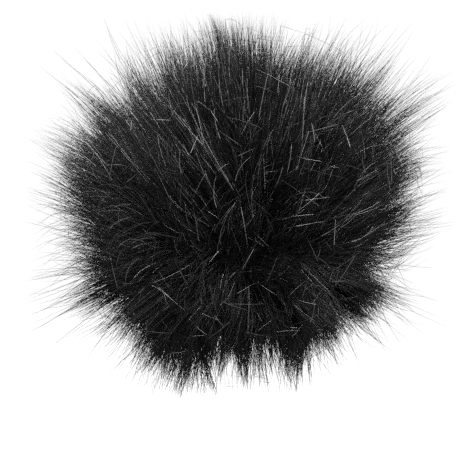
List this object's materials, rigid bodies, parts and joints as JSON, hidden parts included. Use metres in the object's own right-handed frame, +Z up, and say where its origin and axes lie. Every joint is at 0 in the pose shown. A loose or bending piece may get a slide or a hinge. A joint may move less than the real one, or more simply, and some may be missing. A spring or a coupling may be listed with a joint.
{
  "type": "furry windscreen",
  "caption": "Slip-on long-pile fur windscreen for a hand-held recorder's capsules: foam-lined, rounded, with a gathered elastic mouth.",
  "frame": {"origin": "centre of the mouth, in the plane of the hem's lower edge, where the recorder's neck comes out", "axes": "+Z up through the crown of the fur, -Y the front, +X to the right seen from the front"},
  "size_m": [0.149, 0.149, 0.132],
  "materials": {
    "fur": "long straight synthetic pile, black, with a soft satin sheen",
    "seam_tape": "woven binding tape, black, matte",
    "foam": "open-cell acoustic foam, charcoal, matte",
    "lining": "open warp-knit mesh, black, matte",
    "hem": "plain knit fabric, gathered, black, matte",
    "elastic": "woven elastic, black, with a faint sheen"
  },
  "bodies": {
    "root": {"fur_crown": "fur", "fur_side_front": "fur", "fur_side_right": "fur", "fur_side_back": "fur", "fur_side_left": "fur", "fur_base": "fur", "seam_tape_crown": "seam_tape", "seam_tape_base": "seam_tape", "seam_tape_front": "seam_tape", "seam_tape_right": "seam_tape", "seam_tape_back": "seam_tape", "seam_tape_left": "seam_tape", "foam_crown": "foam", "foam_wall": "foam", "foam_base": "foam", "lining_crown": "lining", "lining_wall": "lining", "lining_base": "lining"},
    "mouth_front": {"hem_front": "hem", "elastic_front": "elastic"},
    "mouth_back": {"hem_back": "hem", "elastic_back": "elastic"}
  },
  "joints": [
    {"name": "mouth_stretch_front", "type": "slide", "parent": "root", "child": "mouth_front", "axis": [0, -1, 0], "range_m": [0, 0.01], "stiffness_N_per_m": 200},
    {"name": "mouth_stretch_back", "type": "slide", "parent": "root", "child": "mouth_back", "axis": [0, 1, 0], "range_m": [0, 0.01], "stiffness_N_per_m": 200}
  ],
  "couplings": [
    {"joint": "mouth_stretch_back", "follows": "mouth_stretch_front", "ratio": 1}
  ]
}
